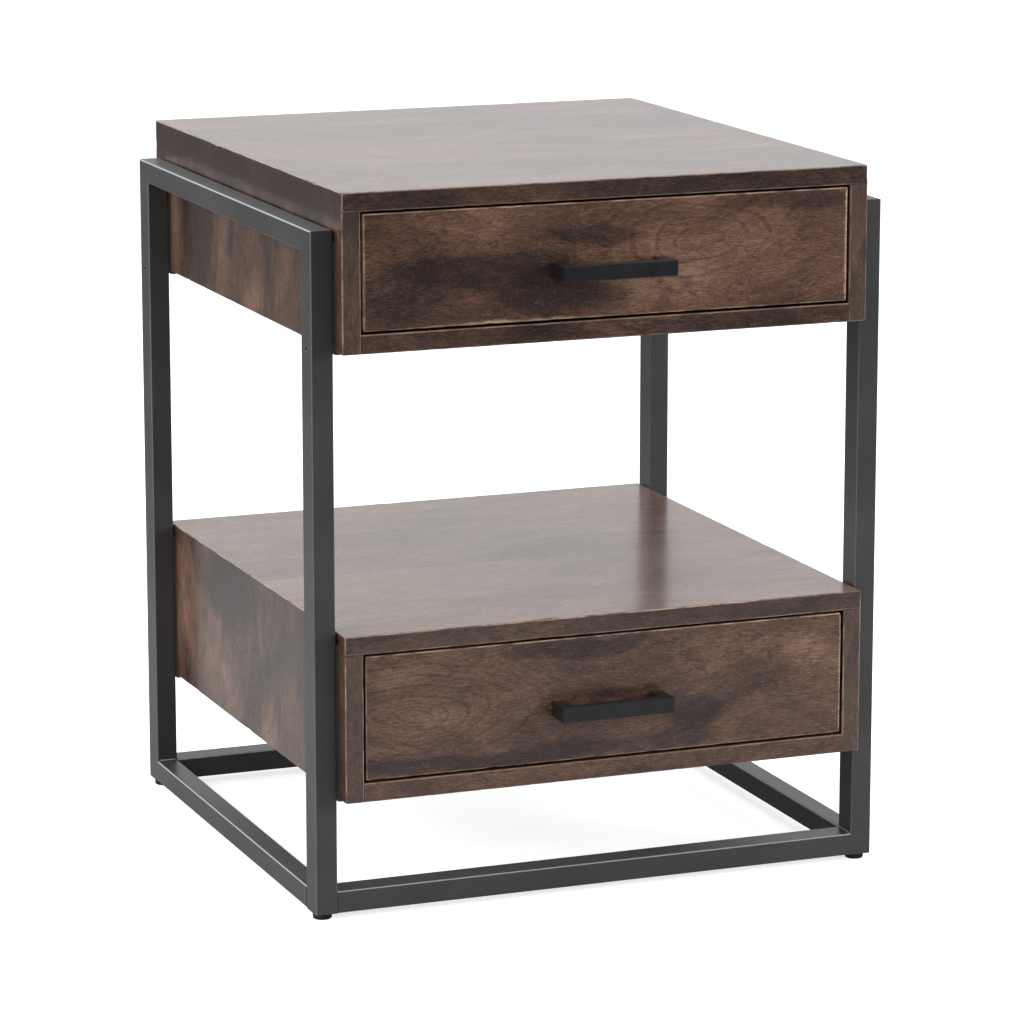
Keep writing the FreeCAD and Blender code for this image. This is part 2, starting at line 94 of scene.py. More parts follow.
def shader(tree, kind, values=None, **settings):
    """Adds one shader node; a value that is an output socket is linked to the input it is given for."""
    made = tree.nodes.new("ShaderNode" + kind)
    for setting, choice in settings.items():
        setattr(made, setting, choice)
    for name, value in (values or {}).items():
        target = made.inputs[name]
        if isinstance(value, bpy.types.NodeSocket):
            tree.links.new(value, target)
        else:
            target.default_value = value
    return made


def maths(tree, operation, first, second=0.0, third=None, clamp=False):
    """One Math node and its result."""
    made = shader(tree, "Math", {0: first, 1: second}, operation=operation, use_clamp=clamp)
    if third is not None:
        if isinstance(third, bpy.types.NodeSocket):
            tree.links.new(third, made.inputs[2])
        else:
            made.inputs[2].default_value = third
    return made.outputs[0]


def fade(tree, value, low, high, out_low=0.0, out_high=1.0):
    """Maps value from low..high to out_low..out_high, smoothly and without going past either end."""
    return shader(tree, "MapRange", {"Value": value, "From Min": low, "From Max": high,
                                     "To Min": out_low, "To Max": out_high},
                  interpolation_type="SMOOTHSTEP").outputs[0]


def stretched(tree, coordinates, scale, place=(0.0, 0.0, 0.0), turn=(0.0, 0.0, 0.0)):
    """Coordinates scaled, turned and moved by a Mapping node."""
    return shader(tree, "Mapping", {"Vector": coordinates, "Scale": scale, "Location": place,
                                    "Rotation": turn}).outputs[0]


def noise(tree, coordinates, scale=1.0, detail=3.0, seed=0.0, rough=0.5, twist=0.0):
    """Cloudy noise about 0.5, different for each seed."""
    return shader(tree, "TexNoise", {"Vector": coordinates, "Scale": scale, "Detail": detail,
                                     "W": seed, "Roughness": rough, "Distortion": twist},
                  noise_dimensions="4D").outputs[0]


def blend_colours(tree, share, first, second, blend="MIX"):
    """Mixes two colours by share."""
    made = shader(tree, "Mix", {"Factor": share}, data_type="RGBA", blend_type=blend)
    for number, colour in ((6, first), (7, second)):
        if isinstance(colour, bpy.types.NodeSocket):
            tree.links.new(colour, made.inputs[number])
        else:
            made.inputs[number].default_value = (*colour, 1.0)
    return made.outputs[2]


def colour_steps(tree, value, steps):
    """A run of colours along value, each step a place from 0 to 1 and a colour."""
    made = shader(tree, "ValToRGB", {"Fac": value})
    ramp = made.color_ramp
    while len(ramp.elements) < len(steps):
        ramp.elements.new(0.5)
    for element, (place, colour) in zip(ramp.elements, steps):
        element.position = place
        element.color = (*colour, 1.0)
    return made.outputs[0]


def new_finish(name):
    """An empty material, its node tree and its main shader."""
    material = bpy.data.materials.new(name)
    material.use_nodes = True
    return material, material.node_tree, material.node_tree.nodes["Principled BSDF"]


def put(tree, main, values):
    """Sets or links the main shader's inputs."""
    for name, value in values.items():
        if isinstance(value, bpy.types.NodeSocket):
            tree.links.new(value, main.inputs[name])
        else:
            main.inputs[name].default_value = value


def relief(tree, main, height, depth, strength=1.0, under=None):
    """Raises and lowers the surface by height, depth metres in all."""
    values = {"Height": height, "Distance": depth, "Strength": strength}
    if under is not None:
        values["Normal"] = under
    bump = shader(tree, "Bump", values)
    tree.links.new(bump.outputs[0], main.inputs["Normal"])
    return bump.outputs[0]


# turns a board so that its grain runs along x, its face spreads over x and y and its thickness is z
BOARD_TURN = {"top": (0.0, 0.0, 0.0), "front": (math.radians(-90), 0.0, 0.0), "side": (0.0, math.radians(90), 0.0)}
DARK_STAIN = (0.017, 0.0100, 0.0085)
SMOKE_STAIN = (0.040, 0.0240, 0.0205)
GREY_STAIN = (0.075, 0.0600, 0.0530)
MID_STAIN = (0.098, 0.0510, 0.0345)
WARM_STAIN = (0.165, 0.0900, 0.0600)
PALE_STAIN = (0.270, 0.1750, 0.1250)
BARE_WOOD = (0.480, 0.330, 0.235)


def vectors(tree, operation, first, second=(0.0, 0.0, 0.0), third=(0.0, 0.0, 0.0)):
    """One Vector Math node; length gives a number, the rest give a vector."""
    values = {0: first, 1: second}
    if operation == "MULTIPLY_ADD":
        values[2] = third
    made = shader(tree, "VectorMath", values, operation=operation)
    return made.outputs["Value" if operation == "LENGTH" else "Vector"]


def cloudy_shift(tree, coordinates, scale, reach, seed, detail=2.0):
    """Coordinates moved by up to about half of reach in each direction, by cloudy noise."""
    field = shader(tree, "TexNoise", {"Vector": stretched(tree, coordinates, scale), "Scale": 1.0, "Detail": detail,
                                      "W": seed}, noise_dimensions="4D").outputs["Color"]
    return vectors(tree, "MULTIPLY_ADD", vectors(tree, "SUBTRACT", field, (0.5, 0.5, 0.5)), reach, coordinates)


def patch(tree, coordinates, spot, size, inner=0.5, outer=1.2):
    """One inside an ellipse about spot on the board's face, fading to nothing outside it."""
    scale = (1.0 / size[0], 1.0 / size[1], 0.0)
    near = stretched(tree, coordinates, scale, (-spot[0] * scale[0], -spot[1] * scale[1], 0.0))
    return fade(tree, vectors(tree, "LENGTH", near), outer, inner)


def stained_wood(name, centre, face, seed, tone=0.0, smoke=0.5, stave=0.0, curl=0.022, rings=130.0, heart=0.045,
                 wear=0.6, front=None, knots=(), dark_figure_and_painted_shade=(), light_figure_and_painted_light=(), scuffs=()):
    """Dark stained, lacquered solid wood. Growth rings are distances from a heart line under the face, bent by a slow
    cloudy shift, with thin dark lines where their sine peaks; fibres, flecks and pores are noise drawn out along the
    grain; smoke is large soft dark figure; stave is the width of the glued strips. Knots, dark patches, light patches
    and scuffs are places on the face, along and across the grain from its middle, with their own rings, dark or light
    colour or bare patches; most dark and light patches are figure, some are painted shade or painted light. Front
    gives where a board's front edge starts, how much lighter or darker it is, which on the top boards is painted
    shade on the front edge face, and how grey."""
    material, tree, main = new_finish(name)
    where = shader(tree, "TexCoord").outputs["Object"]
    centred = stretched(tree, where, (1.0, 1.0, 1.0), tuple(-c for c in centre))
    plain = stretched(tree, centred, (1.0, 1.0, 1.0), turn=BOARD_TURN[face])
    grain = plain

    stave_tone = None
    if stave:
        across = shader(tree, "SeparateXYZ", {0: plain}).outputs[1]
        number = maths(tree, "FLOOR", maths(tree, "DIVIDE", maths(tree, "ADD", across, 0.31 * stave), stave))
        chance = shader(tree, "TexWhiteNoise", {"W": maths(tree, "ADD", number, seed)},
                        noise_dimensions="1D").outputs[0]
        stave_tone = maths(tree, "SUBTRACT", chance, 0.5)
        shift = shader(tree, "CombineXYZ", {0: maths(tree, "MULTIPLY", chance, 3.0),
                                            1: maths(tree, "MULTIPLY", chance, 0.7)}).outputs[0]
        grain = vectors(tree, "ADD", plain, shift)
    straight = grain
    grain = cloudy_shift(tree, grain, (4.0, 11.0, 11.0), (0.0, curl, curl), seed)

    # growth rings round the heart line, and round each knot
    drift = noise(tree, stretched(tree, grain, (38.0, 90.0, 90.0)), detail=4.0, seed=seed + 7.7, rough=0.6, twist=0.7)
    leaned = stretched(tree, grain, (0.0, 1.0, 1.0), (0.0, 0.0, heart))
    count = maths(tree, "MULTIPLY_ADD", vectors(tree, "LENGTH", leaned), rings, maths(tree, "MULTIPLY", drift, 3.5))
    ring = maths(tree, "SINE", maths(tree, "MULTIPLY", count, math.tau))
    knotted = 0.0
    for spot, size, turns in knots:
        scale = (1.0 / size[0], 1.0 / size[1], 0.0)
        bent = cloudy_shift(tree, straight, (11.0, 26.0, 26.0), (0.055, 0.022, 0.0), seed + 2.0, detail=4.0)
        away = vectors(tree, "LENGTH", stretched(tree, bent, scale, (-spot[0] * scale[0], -spot[1] * scale[1], 0.0)))
        knot_ring = maths(tree, "SINE", maths(tree, "MULTIPLY", maths(tree, "POWER", away, 0.8), turns * math.tau))
        share = fade(tree, away, 1.25, 0.8)
        ring = maths(tree, "ADD", maths(tree, "MULTIPLY", ring, maths(tree, "SUBTRACT", 1.0, share)),
                     maths(tree, "MULTIPLY", knot_ring, share))
        knotted = maths(tree, "MAXIMUM", maths(tree, "MULTIPLY", share, 0.55), knotted)

    cloud = noise(tree, stretched(tree, grain, (8.0, 17.0, 17.0)), detail=6.0, seed=seed + 3.1, rough=0.62, twist=1.0)
    fibre = noise(tree, stretched(tree, grain, (120.0, 880.0, 880.0)), detail=3.0, seed=seed + 1.3, rough=0.7,
                  twist=0.35)
    fleck = noise(tree, stretched(tree, grain, (300.0, 1150.0, 1150.0)), detail=1.0, seed=seed + 5.9)
    pore = noise(tree, stretched(tree, grain, (120.0, 1700.0, 1700.0)), detail=1.0, seed=seed + 6.4)
    broken = maths(tree, "MAXIMUM", fade(tree, cloud, 0.42, 0.60, 0.05, 0.8), knotted)
    line = maths(tree, "MULTIPLY", fade(tree, ring, 0.55, 1.0), broken)

    light = 0.45 + tone
    for part, share in ((cloud, 1.05), (drift, 0.40), (fibre, 0.66), (fleck, 0.45)):
        light = maths(tree, "MULTIPLY_ADD", maths(tree, "SUBTRACT", part, 0.5), share, light)
    light = maths(tree, "MULTIPLY_ADD", ring, 0.022, light)
    light = maths(tree, "MULTIPLY_ADD", line, -0.20, light)
    if stave_tone is not None:
        light = maths(tree, "MULTIPLY_ADD", stave_tone, 0.14, light)

    ragged = cloudy_shift(tree, plain, (13.0, 21.0, 0.0), (0.085, 0.040, 0.0), seed + 12.0, detail=5.0)
    dark = fade(tree, noise(tree, stretched(tree, ragged, (6.0, 12.0, 12.0)), detail=3.0, seed=seed + 11.0, twist=0.9),
                0.52, 0.66, 0.0, smoke)
    # dark patches: dark figure, and on some boards painted shade
    for spot, size, depth in dark_figure_and_painted_shade:
        dark = maths(tree, "MAXIMUM", dark, maths(tree, "MULTIPLY", patch(tree, ragged, spot, size), depth))
    light = maths(tree, "MULTIPLY_ADD", dark, -0.29, light)
    # light patches: light figure, and on some boards painted light
    for spot, size, height in light_figure_and_painted_light:
        light = maths(tree, "MULTIPLY_ADD", patch(tree, ragged, spot, size, 0.2, 1.4), height, light)

    # the front edge face, by front's values: lighter or darker, which on the top boards is painted shade, and greyer
    if front:
        at_front = fade(tree, shader(tree, "SeparateXYZ", {0: plain}).outputs[1], front[0] + 0.001, front[0])
        light = maths(tree, "MULTIPLY_ADD", at_front, front[1], light)

    colour = colour_steps(tree, light, ((0.10, DARK_STAIN), (0.29, SMOKE_STAIN), (0.50, MID_STAIN),
                                        (0.68, WARM_STAIN), (0.95, PALE_STAIN)))
    colour = blend_colours(tree, maths(tree, "MULTIPLY", dark, 0.40), colour, SMOKE_STAIN)
    if front:
        colour = blend_colours(tree, maths(tree, "MULTIPLY", at_front, front[2]), colour, GREY_STAIN)
    open_pore = fade(tree, pore, 0.60, 0.72)
    colour = blend_colours(tree, maths(tree, "MULTIPLY", open_pore, 0.6), colour, DARK_STAIN)
    bright_fleck = maths(tree, "MULTIPLY", fade(tree, fleck, 0.64, 0.76), 0.22)
    colour = blend_colours(tree, bright_fleck, colour, PALE_STAIN)

    # rubbed through along the edges, and where it is scuffed
    rub = shader(tree, "Attribute", attribute_name="rub").outputs["Fac"]
    patchy = noise(tree, stretched(tree, where, (42.0, 42.0, 42.0)), detail=4.0, seed=seed + 2.0, rough=0.6)
    rubbed = maths(tree, "MULTIPLY", fade(tree, rub, 0.25, 0.85), fade(tree, patchy, 0.40, 0.60, 0.16, wear))
    for spot, size, depth in scuffs:
        frayed = cloudy_shift(tree, plain, (70.0, 120.0, 0.0), (0.8 * size[0], 1.9 * size[1], 0.0), seed + 15.0,
                              detail=5.0)
        bare = maths(tree, "MULTIPLY", patch(tree, frayed, spot, size, 0.5, 1.25), depth)
        rubbed = maths(tree, "MAXIMUM", rubbed, maths(tree, "MULTIPLY", bare, fade(tree, fibre, 0.35, 0.6, 0.35, 1.0)))
    colour = blend_colours(tree, rubbed, colour, BARE_WOOD)

    sheen = maths(tree, "MULTIPLY_ADD", fibre, 0.16, 0.24)
    sheen = maths(tree, "MULTIPLY_ADD", open_pore, 0.16, sheen)
    put(tree, main, {"Base Color": colour, "Roughness": sheen, "IOR": 1.5, "Specular IOR Level": 0.22,
                     "Coat Weight": 0.80, "Coat Roughness": 0.17, "Coat IOR": 1.5})
    rise = maths(tree, "SUBTRACT", maths(tree, "MULTIPLY", fibre, 0.5), maths(tree, "MULTIPLY", open_pore, 0.6))
    waves = noise(tree, where, scale=22.0, detail=2.0, seed=seed + 4.0)
    under = shader(tree, "Bump", {"Height": waves, "Distance": 0.0010, "Strength": 0.35}).outputs[0]
    relief(tree, main, rise, 0.00022, 0.55, under)
    return material


def powder_coat():
    """Satin dark grey powder coat: a fine pebbled skin, with a painted highlight on the arrises, which are what faces
    neither along, across nor up; the painted highlight is strongest where they face up."""
    material, tree, main = new_finish("powder_coat")
    where = shader(tree, "TexCoord").outputs["Object"]
    pebble = noise(tree, where, scale=1400.0, detail=2.0, seed=1.0)
    cloud = noise(tree, where, scale=14.0, detail=3.0, seed=2.0)
    fleck = noise(tree, where, scale=2600.0, detail=0.0, seed=3.0)
    colour = blend_colours(tree, fade(tree, cloud, 0.3, 0.7), (0.043, 0.0440, 0.0455), (0.056, 0.0570, 0.0590))
    colour = blend_colours(tree, fade(tree, fleck, 0.64, 0.74, 0.0, 0.4), colour, (0.15, 0.155, 0.16))
    facing = shader(tree, "SeparateXYZ", {0: shader(tree, "TexCoord").outputs["Normal"]}).outputs
    squarest = maths(tree, "ABSOLUTE", facing[0])
    for side in facing[1:]:
        squarest = maths(tree, "MAXIMUM", squarest, maths(tree, "ABSOLUTE", side))
    # painted highlight: the arrises mixed towards pale grey, more where they face up than where they face sideways
    highlight_facing_up = fade(tree, facing[2], 0.15, 0.6, 0.28, 1.0)
    edge = maths(tree, "MULTIPLY", fade(tree, squarest, 0.985, 0.86), highlight_facing_up)
    colour = blend_colours(tree, edge, colour, (0.36, 0.37, 0.37))
    gloss = maths(tree, "MULTIPLY_ADD", cloud, 0.12, 0.31)
    put(tree, main, {"Base Color": colour, "Roughness": gloss, "Metallic": 0.15, "IOR": 1.58})
    relief(tree, main, pebble, 0.00012, 0.35)
    return material


def metal(name, pale, dark, rough, grain_scale, metallic=1.0, depth=0.00005):
    """Plated or bare steel: streaks of two tones along the rolling direction, with dull spots."""
    material, tree, main = new_finish(name)
    where = shader(tree, "TexCoord").outputs["Object"]
    streak = noise(tree, stretched(tree, where, grain_scale), detail=4.0, seed=6.0)
    spangle = noise(tree, where, scale=160.0, detail=2.0, seed=8.0)
    mix = maths(tree, "MULTIPLY_ADD", spangle, 0.5, maths(tree, "MULTIPLY", streak, 0.5))
    colour = blend_colours(tree, fade(tree, mix, 0.35, 0.65), dark, pale)
    gloss = maths(tree, "MULTIPLY_ADD", spangle, 0.18, rough)
    put(tree, main, {"Base Color": colour, "Roughness": gloss, "Metallic": metallic})
    relief(tree, main, streak, depth, 0.4)
    return material


def painted(name, pale, dark, rough, scale, depth):
    """Black lacquer or plastic: two close tones and a fine orange peel."""
    material, tree, main = new_finish(name)
    where = shader(tree, "TexCoord").outputs["Object"]
    cloud = noise(tree, where, scale=60.0, detail=3.0, seed=4.0)
    peel = noise(tree, where, scale=scale, detail=2.0, seed=5.0)
    colour = blend_colours(tree, fade(tree, cloud, 0.3, 0.7), dark, pale)
    gloss = maths(tree, "MULTIPLY_ADD", cloud, 0.16, rough)
    put(tree, main, {"Base Color": colour, "Roughness": gloss})
    relief(tree, main, peel, depth, 0.4)
    return material


def plain_wood(name, grain_scale, pale, dark, turn=(0.0, 0.0, 0.0), plies=0.0):
    """Clear lacquered wood of the drawer boxes; plies gives the edge of plywood its layers."""
    material, tree, main = new_finish(name)
    where = shader(tree, "TexCoord").outputs["Object"]
    board = stretched(tree, where, (1.0, 1.0, 1.0), turn=turn)
    fibre = noise(tree, stretched(tree, board, grain_scale), detail=4.0, seed=12.0)
    cloud = noise(tree, stretched(tree, board, tuple(g / 12 for g in grain_scale)), detail=3.0, seed=13.0, twist=0.5)
    mix = maths(tree, "MULTIPLY_ADD", fibre, 0.55, maths(tree, "MULTIPLY", cloud, 0.45))
    if plies:
        layer = maths(tree, "SINE", maths(tree, "MULTIPLY", shader(tree, "SeparateXYZ", {0: where}).outputs[2],
                                          math.tau / plies))
        mix = maths(tree, "MULTIPLY_ADD", layer, 0.05, mix)
    colour = colour_steps(tree, mix, ((0.3, dark), (0.7, pale)))
    gloss = maths(tree, "MULTIPLY_ADD", fibre, 0.2, 0.34)
    put(tree, main, {"Base Color": colour, "Roughness": gloss, "Coat Weight": 0.15, "Coat Roughness": 0.3})
    relief(tree, main, fibre, 0.00015, 0.4)
    return material


def light_studio(tree):
    """The surround: white where it is looked at, and as a light dim in front, brighter at the left and brightest low
    behind the table, as a studio with a white back wall is."""
    surround = tree.nodes["Background"]
    seen = shader(tree, "LightPath").outputs["Is Camera Ray"]
    towards = shader(tree, "SeparateXYZ", {0: shader(tree, "TexCoord").outputs["Generated"]}).outputs
    behind = fade(tree, towards[1], 0.1, 0.95, 0.0, 0.60)
    left = fade(tree, towards[0], 0.0, -0.95, 0.0, 0.50)
    above = fade(tree, towards[2], 0.2, 1.0, 0.0, 0.60)
    glow = maths(tree, "ADD", maths(tree, "ADD", behind, left), maths(tree, "ADD", above, 0.22))
    rest = maths(tree, "MULTIPLY", glow, maths(tree, "SUBTRACT", 1.0, seen))
    tree.links.new(maths(tree, "ADD", rest, seen), surround.inputs["Strength"])
    surround.inputs["Color"].default_value = (1.0, 1.0, 1.0, 1.0)


# ---------------------------------------------------------------- shapes

def grid_faces(rows, columns, wrap=False):
    """Quads between neighbouring rows and columns of points numbered row by row."""
    row = np.arange(rows - 1)[:, None]
    column = np.arange(columns if wrap else columns - 1)[None, :]
    following = (column + 1) % columns
    corners = (row * columns + column, row * columns + following,
               (row + 1) * columns + following, (row + 1) * columns + column)
    return np.stack(np.broadcast_arrays(*corners), -1).reshape(-1, 4)


def add_piece(name, points, faces, finish, body, stands_for=()):
    """A mesh object at the origin with its finish, riding on its CAD body."""
    mesh = bpy.data.meshes.new(name)
    mesh.from_pydata(np.asarray(points).tolist(), [], [list(f) for f in faces])
    mesh.polygons.foreach_set("use_smooth", np.ones(len(mesh.polygons), bool))
    mesh.materials.append(finish)
    mesh.update()
    piece = bpy.data.objects.new(name, mesh)
    bpy.context.scene.collection.objects.link(piece)
    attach(piece, body)
    if stands_for:
        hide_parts(*stands_for)
    return piece


def hold_flats(mesh, points, quads):
    """Sets each point's normal to the sum of its quads' areas and directions, so that flat faces shade flat."""
    corner = points[quads]
    normal = np.cross(corner[:, 2] - corner[:, 0], corner[:, 3] - corner[:, 1])
    total = np.zeros_like(points)
    for k in range(4):
        np.add.at(total, quads[:, k], normal)
    total /= np.maximum(np.linalg.norm(total, axis=1, keepdims=True), 1e-12)
    mesh.normals_split_custom_set_from_vertices(total.tolist())


FACES = {"left": (0, -1), "right": (0, 1), "front": (1, -1), "back": (1, 1), "under": (2, -1), "top": (2, 1)}


def lines_along(low, high, margin, step):
    """Grid lines along one side of a board: its ends, a line a little way in from each, and even steps between."""
    inner = np.linspace(low + margin, high - margin, max(2, math.ceil((high - low - 2 * margin) / step) + 1))
    return np.concatenate([[low], inner, [high]])


def block_surface(low, high, margin, step):
    """The six faces of a block, each a grid over its two sides, with the points that faces share merged."""
    lines = [lines_along(low[k], high[k], margin, step) for k in range(3)]
    sheets, quads, count = [], [], 0
    for axis in range(3):
        a, b = (axis + 1) % 3, (axis + 2) % 3
        u, v = np.meshgrid(lines[a], lines[b], indexing="ij")
        for place, outward in ((low[axis], False), (high[axis], True)):
            sheet = np.empty(u.shape + (3,))
            sheet[..., axis], sheet[..., a], sheet[..., b] = place, u, v
            face = grid_faces(*u.shape) + count
            quads.append(face[:, ::-1] if outward else face)
            sheets.append(sheet.reshape(-1, 3))
            count += u.size
    points, index = np.unique(np.round(np.concatenate(sheets), 7), axis=0, return_inverse=True)
    return points, index.reshape(-1)[np.concatenate(quads)]


def board(node, finish, slot, glued=(), arris=1.2 * MM, seed=1, dents=0.45 * MM, end_finishes=()):
    """A board the size of its CAD node: a gridded block whose free arrises are eased by arris and chipped here and
    there by up to dents, where a sum of waves of random phase peaks. Glued arrises, each named by its two faces, stay
    sharp. End finishes are for the left and the right end."""
    low, high = (np.array(c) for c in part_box(node))
    points, quads = block_surface(low, high, 2.0 * MM, 4.5 * MM)
    side = np.where(np.abs(points - low) < 1e-6, -1, 0) + np.where(np.abs(points - high) < 1e-6, 1, 0)
    piece = add_piece(node + "_board", points, quads, finish, BODY_OF[node], (node,))
    mesh = piece.data
    which = np.zeros(len(quads), np.int32)
    for number, end_finish in enumerate(end_finishes):
        mesh.materials.append(end_finish)
        which[(side[quads, 0] == (-1, 1)[number]).all(1)] = number + 1
    mesh.polygons.foreach_set("material_index", which)

    ends = np.empty(len(mesh.edges) * 2, np.int32)
    mesh.edges.foreach_get("vertices", ends)
    ends = ends.reshape(-1, 2)
    shared = (side[ends[:, 0]] == side[ends[:, 1]]) & (side[ends[:, 0]] != 0)
    arrises = shared.sum(1) >= 2
    weight = arrises.astype(np.float32)
    for one, other in glued:
        (a, sa), (b, sb) = FACES[one], FACES[other]
        tight = shared[:, a] & shared[:, b] & (side[ends[:, 0], a] == sa) & (side[ends[:, 0], b] == sb)
        weight[tight] = 0.0
    mesh.attributes.new("bevel_weight_edge", "FLOAT", "EDGE").data.foreach_set("value", weight)
    mesh.attributes.new("sharp_edge", "BOOLEAN", "EDGE").data.foreach_set("value", arrises & (weight < 0.5))

    free = np.zeros(len(points), bool)
    free[ends[weight > 0.5].ravel()] = True
    fixed = np.zeros(len(points), bool)
    fixed[ends[arrises & (weight < 0.5)].ravel()] = True
    random = np.random.RandomState(seed)
    waves = random.normal(0.0, 1.0, (24, 3)) * random.choice([90.0, 260.0, 520.0], (24, 1))
    phase = random.uniform(0.0, math.tau, 24)
    swell = np.sin(points @ waves.T + phase).sum(1) / 12 ** 0.5
    dip = (0.10 * np.clip(swell, 0.0, 1.0) + np.clip(swell - 1.1, 0.0, 1.0)) * dents * (free & ~fixed)
    mesh.vertices.foreach_set("co", (points - side * dip[:, None]).astype(np.float32).ravel())
    mesh.attributes.new("rub", "FLOAT", "POINT").data.foreach_set("value", free.astype(np.float32))
    mesh.update()

    ease = piece.modifiers.new("eased_arrises", "BEVEL")
    ease.width, ease.segments = arris, 4
    ease.limit_method = "WEIGHT"
    ease.harden_normals = True
    ease.use_clamp_overlap = False
    return piece


def rounded_outline(corners, radii, steps):
    """Points along a line through corners, each inner corner turned by an arc of its radius; corners is a list of plan
    points and every arc has the same number of points, so two such lines can be paired point by point."""
    corners = np.asarray(corners, float)
    parts = [corners[:1]]
    for k in range(1, len(corners) - 1):
        before = corners[k - 1] - corners[k]
        after = corners[k + 1] - corners[k]
        before /= np.linalg.norm(before)
        after /= np.linalg.norm(after)
        centre = corners[k] + radii[k - 1] * (before + after)      # the corners are square
        turn = np.linspace(0.0, math.pi / 2, steps + 1)[:, None]
        parts.append(centre - radii[k - 1] * (after * np.cos(turn) + before * np.sin(turn)))
    parts.append(corners[-1:])
    return np.concatenate(parts)


def handle(node, finish, grip, leg, edge):
    """A bar handle: in plan an outer and an inner line, both U shaped with eased corners. Each section joins a point of
    one to the same point of the other and is a rectangle with quarter round corners of radius edge."""
    low, high = (np.array(c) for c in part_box(node))
    back, front = high[1], low[1]
    outer = rounded_outline([(low[0], back), (low[0], front), (high[0], front), (high[0], back)], (edge, edge), 5)
    inner = rounded_outline([(low[0] + leg, back), (low[0] + leg, front + grip),
                             (high[0] - leg, front + grip), (high[0] - leg, back)], (1.6 * MM, 1.6 * MM), 5)
    across = inner - outer
    width = np.linalg.norm(across, axis=1, keepdims=True)
    across /= width
    half = (high[2] - low[2]) / 2
    turn = np.linspace(0.0, math.pi / 2, 5)
    quarter = np.arange(4)[:, None] * math.pi / 2 + turn
    right = np.array([1, 0, 0, 1])[:, None] + 0 * quarter
    up = np.array([1, 1, -1, -1])[:, None] + 0 * quarter
    along = (np.where(right > 0, width[:, :, None] - edge, edge) + edge * np.cos(quarter)).reshape(len(width), -1)
    rise = (up * (half - edge) + edge * np.sin(quarter)).reshape(-1)
    points = np.empty((len(width), rise.size, 3))
    points[..., :2] = outer[:, None] + across[:, None] * along[..., None]
    points[..., 2] = (low[2] + high[2]) / 2 + rise
    quads = grid_faces(len(width), rise.size, wrap=True)
    flat = points.reshape(-1, 3)
    first, last = np.arange(rise.size)[::-1], (len(width) - 1) * rise.size + np.arange(rise.size)
    piece = add_piece(node + "_bar", flat, [*quads, first, last], finish, BODY_OF[node], (node,))
    hold_flats(piece.data, flat, quads)
    return piece


def turned(radius, height, columns):
    """The surface turned about an upright axis: radius, one for each row or for each row and column, at each row's
    height. Rows run upwards or level, and flat discs close both ends."""
    angle = np.arange(columns) * math.tau / columns
    radius = radius + 0 * angle
    points = np.stack([radius * np.cos(angle), radius * np.sin(angle), height + 0 * radius], -1).reshape(-1, 3)
    first, last = np.arange(columns)[::-1], (len(radius) - 1) * columns + np.arange(columns)
    return points, grid_faces(len(radius), columns, wrap=True), [first, last]


def glide(node, body):
    """A screw-in glide: a pad with a rolled lower edge and a ribbed rim, and a stem with a helical thread. The rim's
    radius is a cosine of the angle; the stem's is a triangle wave of height and angle together."""
    low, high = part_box(node)
    pad, rim, roll, ribs, columns = 6.0 * MM, 8.0 * MM, 1.4 * MM, 32, 256
    turn = np.linspace(0.0, math.pi / 2, 7)
    angle = np.arange(columns) * math.tau / columns
    radius = np.concatenate([[0.3 * rim], rim - roll + roll * np.sin(turn), np.full(5, rim), [rim - 0.4 * MM, 4 * MM]])
    height = np.concatenate([[0.0], roll * (1 - np.cos(turn)), np.linspace(2.0 * MM, pad - 0.4 * MM, 5), [pad, pad]])
    ribbed = np.clip((height - roll) / (0.5 * MM), 0.0, 1.0) * (radius > rim - 0.1 * MM)
    radius = radius[:, None] - 0.14 * MM * ribbed[:, None] * (1 - np.cos(ribs * angle))
    points, quads, ends = turned(radius, height[:, None], columns)

    pitch, rows, stem_columns = 1.25 * MM, 160, 36
    rise = np.linspace(pad - 0.2 * MM, high[2] - low[2], rows)[:, None]
    phase = rise / pitch - np.arange(stem_columns) / stem_columns
    thread = 3.45 * MM + 0.55 * MM * np.abs(2 * (phase - np.floor(phase)) - 1)
    thread *= np.clip((high[2] - low[2] - rise) / (1.0 * MM), 0.0, 1.0) * 0.25 + 0.75
    stem, stem_quads, stem_ends = turned(thread, rise, stem_columns)

    centre = np.array([(low[0] + high[0]) / 2, (low[1] + high[1]) / 2, low[2]])
    faces = [*quads, *ends, *(stem_quads + len(points)), *(f + len(points) for f in stem_ends)]
    everything = np.concatenate([points, stem]) + centre
    piece = add_piece(node + "_glide", everything, faces, BLACK_PLASTIC, body, (node,))
    piece.data.materials.append(SCREW_ZINC)
    which = np.zeros(len(faces), np.int32)
    which[len(quads) + 2:] = 1
    piece.data.polygons.foreach_set("material_index", which)
    hold_flats(piece.data, everything, np.concatenate([quads, stem_quads + len(points)]))


